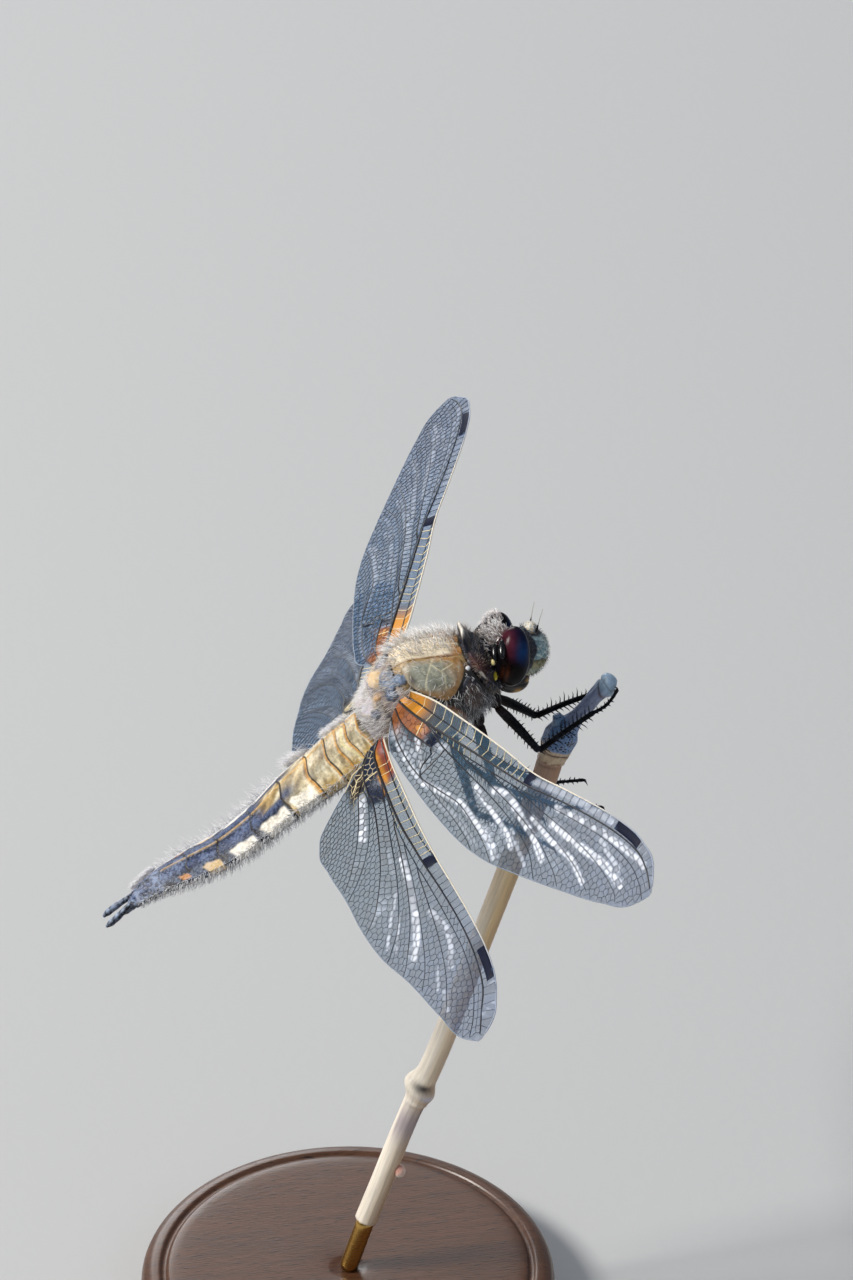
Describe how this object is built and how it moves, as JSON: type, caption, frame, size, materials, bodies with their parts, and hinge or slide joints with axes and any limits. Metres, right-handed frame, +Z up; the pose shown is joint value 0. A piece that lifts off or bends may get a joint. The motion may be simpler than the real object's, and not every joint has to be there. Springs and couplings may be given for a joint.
{
  "type": "four-spotted chaser dragonfly on a stem",
  "caption": "Life-size four-spotted chaser dragonfly with spread wings, clinging to the worn tip of a dry stem that a round wooden stand holds up on a short rod.",
  "frame": {"origin": "the middle of the underside of the stand's round base", "axes": "+Z up from the surface that the stand rests on, +X the way the dragonfly faces, seen from above, +Y to its left"},
  "size_m": [0.0443, 0.0737, 0.0727],
  "materials": {
    "thorax_shell": "satin grey-tan shell under pale hair",
    "abdomen_shell": "satin shell, tan at the front and blue-black behind, with cream side spots",
    "black_shell": "glossy black shell",
    "face_shell": "satin olive-cream shell",
    "compound_eye": "glossy brown-purple, finely faceted",
    "wing_membrane": "clear membrane in a net of dark veins, amber at the root",
    "dry_stem": "smooth weathered straw, blue-grey at the worn tip",
    "stand_wood": "oiled dark wood",
    "stand_brass": "brushed"
  },
  "bodies": {
    "root": {"abdomen_1": "abdomen_shell", "abdomen_10": "abdomen_shell", "abdomen_2": "abdomen_shell", "abdomen_3": "abdomen_shell", "abdomen_4": "abdomen_shell", "abdomen_5": "abdomen_shell", "abdomen_6": "abdomen_shell", "abdomen_7": "abdomen_shell", "abdomen_8": "abdomen_shell", "abdomen_9": "abdomen_shell", "antenna_left": "black_shell", "antenna_right": "black_shell", "cercus_left": "black_shell", "cercus_right": "black_shell", "eye_left": "compound_eye", "eye_right": "compound_eye", "face": "face_shell", "head_capsule": "black_shell", "leg_fore_left_femur": "black_shell", "leg_fore_left_tarsus": "black_shell", "leg_fore_left_tibia": "black_shell", "leg_fore_right_femur": "black_shell", "leg_fore_right_tarsus": "black_shell", "leg_fore_right_tibia": "black_shell", "leg_hind_left_femur": "black_shell", "leg_hind_left_tarsus": "black_shell", "leg_hind_left_tibia": "black_shell", "leg_hind_right_femur": "black_shell", "leg_hind_right_tarsus": "black_shell", "leg_hind_right_tibia": "black_shell", "leg_mid_left_femur": "black_shell", "leg_mid_left_tarsus": "black_shell", "leg_mid_left_tibia": "black_shell", "leg_mid_right_femur": "black_shell", "leg_mid_right_tarsus": "black_shell", "leg_mid_right_tibia": "black_shell", "mouth": "face_shell", "prothorax": "black_shell", "stand_base": "stand_wood", "stand_rod": "stand_brass", "stem_shaft": "dry_stem", "stem_stub": "dry_stem", "stem_top": "dry_stem", "thorax": "thorax_shell", "wing_fore_left": "wing_membrane", "wing_fore_right": "wing_membrane", "wing_hind_left": "wing_membrane", "wing_hind_right": "wing_membrane"}
  },
  "joints": []
}
